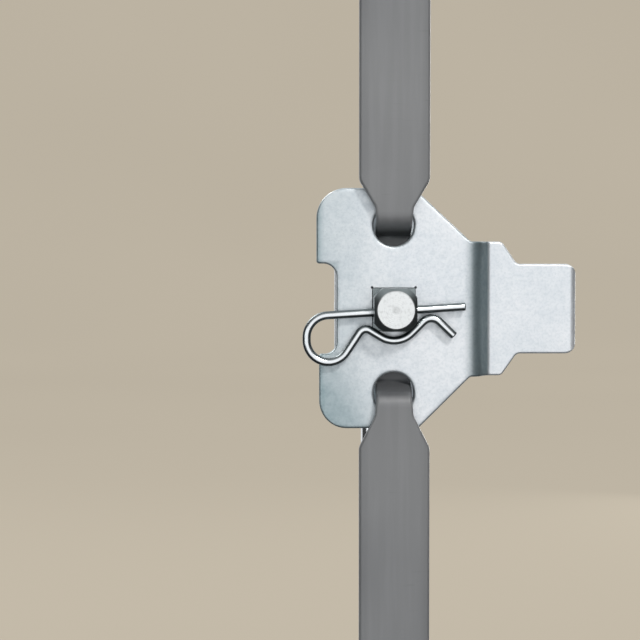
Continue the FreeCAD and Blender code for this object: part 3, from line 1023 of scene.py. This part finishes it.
# ---------------------------------------------------------------- sub-assemblies
@dataclass
class SubAssembly:
    """A group of pieces that are built and dressed together."""

    carried: dict[str, Finish] = field(default_factory=dict)

    def dress_carried(self) -> list[str]:
        """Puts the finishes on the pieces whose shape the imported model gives.

        Returns:
            The names of those pieces.
        """
        for node, finish in self.carried.items():
            finish.dress(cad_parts[node])
        return list(self.carried)

    def build_new(self) -> list[str]:
        """Makes the pieces that this script models.

        Returns:
            The names of those pieces.
        """
        return []

    def build(self) -> None:
        """Builds and dresses the whole sub-assembly, and reports each piece."""
        for name in self.dress_carried() + self.build_new():
            LOG.info("%s: %s", type(self).__name__, name)


@dataclass
class CamSet(SubAssembly):
    """The cam plate on its spindle, with what holds and carries it."""

    carried: dict[str, Finish] = field(default_factory=lambda: {
        "cam_plate": SHEET_ZINC, "spindle": SPINDLE_BAR, "spindle_ferrule": PALE_NYLON,
        "cam_spring_washer": SPRING_BLUE,
    })
    clip: WireClip = field(default_factory=WireClip)

    def build_new(self) -> list[str]:
        """Bends the wire clip, and puts it in its packed stand-in's place.

        Returns:
            The clip's name.
        """
        piece = self.clip.build()
        CLIP_WIRE.dress(piece)
        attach(piece, "rotor")
        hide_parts("hairpin_clip")
        return [piece.name]


@dataclass
class LockRods(SubAssembly):
    """The two enamelled rods that hook into the cam plate."""

    carried: dict[str, Finish] = field(default_factory=lambda: {
        "upper_rod": ROD_ENAMEL, "lower_rod": ROD_ENAMEL,
    })


@dataclass
class DoorSet(SubAssembly):
    """What stays still on the door: the escutcheon, its pad, and the fixings."""

    carried: dict[str, Finish] = field(default_factory=lambda: {
        "escutcheon": CAST_CHROME, "gasket": SEAL_RUBBER, "backing_plate": SMALL_ZINC,
        "mounting_screws": SMALL_ZINC, "screw_washers": SMALL_ZINC,
    })


@dataclass
class HandleSet(SubAssembly):
    """The cast handle and what keeps it in the escutcheon."""

    carried: dict[str, Finish] = field(default_factory=lambda: {
        "handle": CAST_CHROME, "spindle_pin": PIN_STEEL, "retaining_ring": SPRING_BLUE,
        "hub_spring_washer": SPRING_BLUE,
    })


@dataclass
class KeyLock(SubAssembly):
    """The wafer lock in the handle's hub, its bolt, and the key."""

    carried: dict[str, Finish] = field(default_factory=lambda: {
        "lock_shell": LOCK_CHROME, "lock_plug": PLUG_BRASS, "wafers": PLUG_BRASS,
        "lock_bolt": BOLT_ZINC, "key": KEY_NICKEL,
    })


@dataclass(frozen=True)
class Lamp:
    """One square soft light: its name, place, side, power and colour."""

    name: str
    spot: tuple[float, float, float]
    side: float
    watts: float
    tint: Colour = (1.0, 1.0, 1.0)

    def hang(self) -> None:
        """Makes the light, aimed at the middle of the latch."""
        data = bpy.data.lights.new(self.name, "AREA")
        data.size = self.side
        data.energy = self.watts
        data.color = self.tint
        lamp = bpy.data.objects.new(self.name, data)
        lamp.location = self.spot
        lamp.rotation_euler = (-Vector(self.spot)).to_track_quat("-Z", "Y").to_euler()
        bpy.context.scene.collection.objects.link(lamp)


@dataclass(frozen=True)
class Glow:
    """One bright side of the surroundings: how it fades in on the way there, and its level."""

    fade: Span
    level: float

    def seen(self, towards: Signal) -> Signal:
        """How bright it is, given how far the way points towards it."""
        return towards.ramp(*self.fade) * self.level


@dataclass
class Studio:
    """Floor, soft lights, surroundings and the camera."""

    floor_z: float = -0.262
    floor_r: float = 4.0
    cove_r: float = 3.0
    wall_h: float = 2.0
    cove_steps: int = 24
    round_steps: int = 96
    floor_smooth_deg: float = 60.0
    pale: Colour = (0.60, 0.535, 0.43)
    lamps: tuple[Lamp, ...] = (
        Lamp("key", (0.42, -0.95, 0.80), 0.20, 8.2, (1.0, 0.99, 0.98)),
        Lamp("fill", (-1.2, -1.0, 0.10), 0.8, 3.0, (0.95, 0.98, 1.0)),
        Lamp("outside_key", (-0.9, 1.1, 1.1), 0.8, 16.0),
        Lamp("outside_fill", (0.7, 1.4, 0.2), 0.8, 7.0),
    )
    front: Glow = Glow((0.68, 0.90), 1.0)
    back: Glow = Glow((0.60, 0.90), 0.8)
    above: Glow = Glow((0.40, 0.90), 0.80)
    dimmest: float = 0.05
    daylight: Colour = (0.96, 0.98, 1.0)
    eye: tuple[float, float, float] = (-0.0265, -0.4158, 0.0120)
    target: tuple[float, float, float] = (-0.01665, -0.0158, -0.0024)
    lens: float = 100.0
    sensor: float = 36.0
    clip_span: Span = (0.01, 50.0)

    def floor(self) -> None:
        """A pale floor that curves up into a wall all round, so no horizon shows."""
        bm = bmesh.new()
        centre = bm.verts.new((0.0, 0.0, self.floor_z))
        edge = bm.verts.new((self.floor_r, 0.0, self.floor_z))
        bm.edges.new((centre, edge))
        cove = bmesh.ops.spin(
            bm, geom=[edge], cent=(self.floor_r, 0.0, self.floor_z + self.cove_r),
            axis=(0.0, -1.0, 0.0), angle=FULL_TURN / 4.0, steps=self.cove_steps)
        top = [g for g in cove["geom_last"] if isinstance(g, bmesh.types.BMVert)]
        raised = bmesh.ops.extrude_vert_indiv(bm, verts=top)["verts"]
        bmesh.ops.translate(bm, verts=raised, vec=(0.0, 0.0, self.wall_h))
        bmesh.ops.spin(
            bm, geom=list(bm.edges), cent=(0.0, 0.0, 0.0), axis=(0.0, 0.0, 1.0),
            angle=FULL_TURN, steps=self.round_steps, use_merge=True)
        piece = finish_mesh("floor", bm, self.floor_smooth_deg)
        Paper("floor_paper", self.pale, roughness=0.9, metallic=0.0).dress(piece)
        piece.visible_glossy = False
        piece.visible_diffuse = False

    def surroundings(self) -> None:
        """A studio all round: bright in front, behind and above, dark at the sides."""
        world = bpy.data.worlds.new("studio")
        bpy.context.scene.world = world
        world.use_nodes = True
        world.node_tree.nodes.clear()
        kit = NodeKit(world.node_tree)
        way = kit.node("ShaderNodeTexCoord", {}, {}).outputs["Generated"]
        split = kit.node("ShaderNodeSeparateXYZ", {}, {0: way})
        _, y, z = (Signal(kit, out) for out in split.outputs)
        bright = self.front.seen(y * -1.0) + self.back.seen(y) + self.above.seen(z)
        backdrop = kit.node(
            "ShaderNodeBackground", {},
            {"Color": self.daylight, "Strength": bright + self.dimmest})
        kit.node("ShaderNodeOutputWorld", {}, {"Surface": backdrop.outputs[0]})

    def camera(self) -> None:
        """The camera square on to the cam plate, from inside the cabinet."""
        data = bpy.data.cameras.new("camera")
        data.lens = self.lens
        data.sensor_width = self.sensor
        data.clip_start, data.clip_end = self.clip_span
        eye = bpy.data.objects.new("camera", data)
        eye.location = self.eye
        gaze = Vector(self.target) - Vector(self.eye)
        eye.rotation_euler = gaze.to_track_quat("-Z", "Y").to_euler()
        bpy.context.scene.collection.objects.link(eye)
        bpy.context.scene.camera = eye

    def build(self) -> None:
        """Sets the whole studio up."""
        bpy.context.scene.view_settings.view_transform = "Standard"
        self.floor()
        self.surroundings()
        for lamp in self.lamps:
            lamp.hang()
        self.camera()


def main() -> None:
    """Builds the latch, one sub-assembly after another, then the studio."""
    logging.basicConfig(level=logging.INFO, format="%(message)s")
    sets: list[SubAssembly] = [CamSet(), LockRods(), DoorSet(), HandleSet(), KeyLock()]
    for group in sets:
        group.build()
    Studio().build()


if __name__ == "__main__":
    main()
